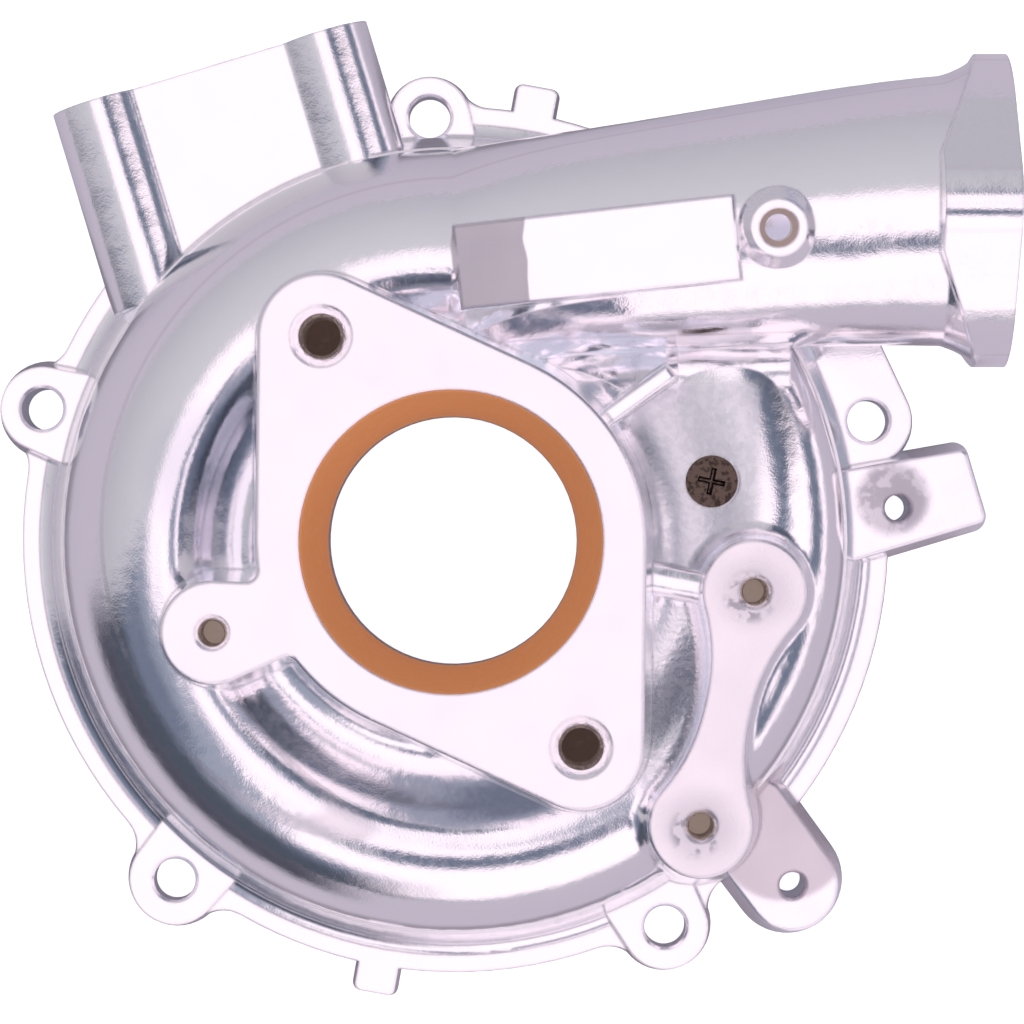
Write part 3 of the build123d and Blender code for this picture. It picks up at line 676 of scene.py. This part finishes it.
def tapped_holes():
    """Each tapped hole: name, middle of its mouth, direction out of it, drill radius and depth."""
    places = []
    for name, half_turn in (("inlet_upper", 0), ("inlet_lower", 180)):
        x, y = polar(INLET_BOLT_R, INLET_BOLT_ANGLE + half_turn)
        places.append((name, (x, y, INLET_FACE_Z), UP, LARGE_DRILL_R, LARGE_DEPTH))
    places.append(("side_ear", (*SIDE_EAR, INLET_FACE_Z), UP, SMALL_DRILL_R, SMALL_DEPTH))
    dx, dy = polar(LINK_PITCH, LINK_ANGLE)
    for name, x, y in (("link_upper", *LINK_TOP), ("link_lower", LINK_TOP[0] + dx, LINK_TOP[1] + dy)):
        places.append((name, (x, y, LINK_FACE_Z), UP, SMALL_DRILL_R, SMALL_DEPTH))
    for name, side in (("outlet_upper", 1), ("outlet_lower", -1)):
        mouth = (OUTLET_FACE[0], OUTLET_FACE[1], OUTLET_FACE[2] + side * OUTLET_BOLT_R)
        places.append((name, mouth, (1.0, 0.0, 0.0), LARGE_DRILL_R, OUTLET_DEPTH))
    along = polar(1.0, PAD_TURN)
    for name, side in (("pad_left", -1), ("pad_right", 1)):
        mouth = (PAD_CENTRE[0] + side * PAD_BOLT_R * along[0],
                 PAD_CENTRE[1] + side * PAD_BOLT_R * along[1], PAD_CENTRE[2])
        places.append((name, mouth, (-along[1], along[0], 0.0), LARGE_DRILL_R, LARGE_DEPTH))
    labels = ("name", "mouth", "out", "drill_r", "depth")
    return [dict(zip(labels, place)) for place in places]


class HOUSING_OT_finish_casting(bpy.types.Operator):
    """Gives the casting its polished skin"""

    bl_idname = "housing.finish_casting"
    bl_label = "Finish the casting"

    def execute(self, context):
        scene = context.scene
        dress("housing", casting_material(scene.housing_sizes, scene.housing_colours))
        return {"FINISHED"}


class HOUSING_OT_finish_screw(bpy.types.Operator):
    """Gives the plug screw its brown finish"""

    bl_idname = "housing.finish_screw"
    bl_label = "Finish the screw"

    def execute(self, context):
        dress("plug_screw", screw_material(context.scene.housing_colours))
        return {"FINISHED"}


class HOUSING_OT_cut_threads(bpy.types.Operator):
    """Cuts the threads of the tapped holes"""

    bl_idname = "housing.cut_threads"
    bl_label = "Cut the threads"

    def execute(self, context):
        sizes = context.scene.housing_sizes
        material = thread_material(context.scene.housing_colours)
        for hole in tapped_holes():
            large = hole["drill_r"] == LARGE_DRILL_R
            pitch = sizes.large_pitch if large else sizes.small_pitch
            place = hole_place(hole["mouth"], hole["out"])
            ridge = thread_ring(
                hole["drill_r"] * MM, hole["depth"] * MM, pitch, THREAD_START * MM, place)
            finish_piece(ridge, f"thread_{hole['name']}", material)
        return {"FINISHED"}


class HOUSING_OT_set_stage(bpy.types.Operator):
    """Lays the floor and sets up the light and the camera"""

    bl_idname = "housing.set_stage"
    bl_label = "Set the stage"

    def execute(self, context):
        scene = context.scene
        lay_floor(scene.housing_colours, scene.housing_studio.floor_glow)
        set_light(scene, scene.housing_studio.light)
        place_camera(scene, scene.housing_studio)
        return {"FINISHED"}


# Half the floor's width and its drop below the part, in metres
FLOOR_HALF = 2.0
FLOOR_DROP = 0.3 * MM


def lay_floor(colours, glow):
    """Floor that runs past the picture on all sides."""
    plane = bmesh.new()
    bmesh.ops.create_grid(plane, x_segments=1, y_segments=1, size=FLOOR_HALF)
    bmesh.ops.translate(plane, vec=(0, 0, -FLOOR_DROP), verts=plane.verts)
    mesh = bpy.data.meshes.new("floor")
    plane.to_mesh(mesh)
    plane.free()
    mesh.materials.append(floor_material(colours, glow))
    floor = bpy.data.objects.new("floor", mesh)
    bpy.context.scene.collection.objects.link(floor)


# Tones of the studio's panels and screens
PANEL = (1.24, 1.10, 1.22)
WALL = (0.66, 0.65, 0.71)
DIM_WALL = (0.50, 0.49, 0.55)
HAZE = (0.35, 0.38, 0.48)
SCREEN = (0.17, 0.20, 0.28)
SHADE = (0.08, 0.095, 0.13)

# Light by angle from the zenith, as a share of 90 degrees, for each side of the room. The white
# panel overhead is the same on all sides; the light walls, windows and dark screens differ.
LIGHT_WALL = ((0.00, PANEL), (0.15, PANEL), (0.22, WALL), (1.00, DIM_WALL))
DARK_SCREEN = (
    (0.00, PANEL), (0.18, PANEL), (0.29, HAZE), (0.46, SCREEN), (0.66, SCREEN), (0.80, SHADE))
LOW_SCREEN = ((0.00, PANEL), (0.12, PANEL), (0.18, HAZE), (0.60, HAZE), (0.78, SHADE))
LOW_WINDOW = (
    (0.00, PANEL), (0.27, PANEL), (0.34, WALL), (0.43, PANEL), (0.60, PANEL), (0.74, SCREEN),
    (0.88, SHADE))
FRONT_WINDOW = (
    (0.00, PANEL), (0.21, PANEL), (0.27, SCREEN), (0.36, SCREEN), (0.44, PANEL), (0.93, PANEL),
    (1.00, DIM_WALL))
RIGHT = (
    (0.00, PANEL), (0.10, PANEL), (0.14, HAZE), (0.26, HAZE), (0.35, PANEL), (0.64, PANEL),
    (0.72, SCREEN), (0.86, SCREEN), (0.95, PANEL))
UPPER_RIGHT = (
    (0.00, PANEL), (0.14, PANEL), (0.19, SCREEN), (0.60, SHADE), (0.90, HAZE), (1.00, HAZE))
# Going round from the upper left: where each side of the room starts, as shares of a full turn
ROOM = (
    (0.150, 0.172, DARK_SCREEN),
    (0.235, 0.262, LOW_SCREEN),
    (0.293, 0.313, LOW_WINDOW),
    (0.325, 0.385, FRONT_WINDOW),
    (0.47, 0.53, RIGHT),
    (0.68, 0.72, UPPER_RIGHT),
    (0.80, 0.86, LIGHT_WALL),
)
ROOM_START = 0.375
# Surroundings as the camera itself sees them
BACKDROP = (0.90, 0.90, 0.91)


def colour_ramp(tree, value, stops):
    """Colour by a value, from stops given as pairs of place and colour."""
    node = add_node(tree, "ShaderNodeValToRGB", {"Fac": value})
    points = node.color_ramp.elements
    while len(points) < len(stops):
        points.new(0.5)
    for point, (place, _) in zip(points, stops):
        point.position = place
    for point, (_, colour) in zip(points, stops):
        point.color = rgba(colour)
    return node.outputs["Color"]


def set_light(scene, strength):
    """Surroundings of soft light: a white panel overhead, light walls and dark screens."""
    world = bpy.data.worlds.new("studio")
    scene.world = world
    # The surroundings are broad and soft, so bounces find them as well, in half the time
    world.cycles.sampling_method = "NONE"
    world.use_nodes = True
    tree = world.node_tree
    tree.nodes.clear()
    way = tree.nodes.new("ShaderNodeTexCoord").outputs["Generated"]
    axes = add_node(tree, "ShaderNodeSeparateXYZ", {0: way})
    tilt = calc(tree, "DIVIDE", calc(tree, "ARCCOSINE", axes.outputs[2]), math.pi / 2)
    turn = calc(tree, "ARCTAN2", axes.outputs[1], axes.outputs[0])
    turn = calc(tree, "MULTIPLY_ADD", turn, 1 / (2 * math.pi), 1.0 - ROOM_START)
    turn = calc(tree, "FRACT", turn)
    colour = colour_ramp(tree, tilt, LIGHT_WALL)
    for start, end, stops in ROOM:
        side = colour_ramp(tree, tilt, stops)
        colour = blend_colours(tree, ramp_between(tree, turn, start, end), colour, side)
    seen = tree.nodes.new("ShaderNodeLightPath").outputs["Is Camera Ray"]
    colour = blend_colours(tree, seen, colour, rgba(BACKDROP))
    background = add_node(tree, "ShaderNodeBackground", {"Color": colour, "Strength": strength})
    output = tree.nodes.new("ShaderNodeOutputWorld")
    tree.links.new(background.outputs[0], output.inputs["Surface"])
    scene.view_settings.view_transform = "Standard"


# The picture's middle on the floor, and the camera's sensor width in millimetres
CAMERA_PLACE = (9.4 * MM, 4.6 * MM)
SENSOR_WIDTH = 36.0


def place_camera(scene, studio):
    """Camera straight above the part, as far away as the photograph's."""
    lens = bpy.data.cameras.new("camera")
    lens.sensor_width = SENSOR_WIDTH
    lens.lens = studio.focal_length
    camera = bpy.data.objects.new("camera", lens)
    camera.location = (*CAMERA_PLACE, studio.camera_height)
    scene.collection.objects.link(camera)
    scene.camera = camera


class HOUSING_PT_panel(bpy.types.Panel):
    """Buttons and settings of the housing"""

    bl_label = "Housing"
    bl_idname = "HOUSING_PT_panel"
    bl_space_type = "VIEW_3D"
    bl_region_type = "UI"
    bl_category = "Housing"

    def draw(self, context):
        layout = self.layout
        for step in STEPS:
            layout.operator(step.bl_idname)
        scene = context.scene
        for group in (scene.housing_sizes, scene.housing_colours, scene.housing_studio):
            column = layout.column()
            for name in group.bl_rna.properties.keys():
                if name not in ("rna_type", "name"):
                    column.prop(group, name)


STEPS = (
    HOUSING_OT_finish_casting,
    HOUSING_OT_finish_screw,
    HOUSING_OT_cut_threads,
    HOUSING_OT_set_stage,
)
CLASSES = (HousingSizes, HousingColours, StudioSettings) + STEPS + (HOUSING_PT_panel,)


def register():
    for item in CLASSES:
        bpy.utils.register_class(item)
    bpy.types.Scene.housing_sizes = PointerProperty(type=HousingSizes)
    bpy.types.Scene.housing_colours = PointerProperty(type=HousingColours)
    bpy.types.Scene.housing_studio = PointerProperty(type=StudioSettings)


def unregister():
    del bpy.types.Scene.housing_studio
    del bpy.types.Scene.housing_colours
    del bpy.types.Scene.housing_sizes
    for item in reversed(CLASSES):
        bpy.utils.unregister_class(item)


def main():
    register()
    bpy.ops.housing.finish_casting()
    bpy.ops.housing.finish_screw()
    bpy.ops.housing.cut_threads()
    bpy.ops.housing.set_stage()


if __name__ == "__main__":
    main()
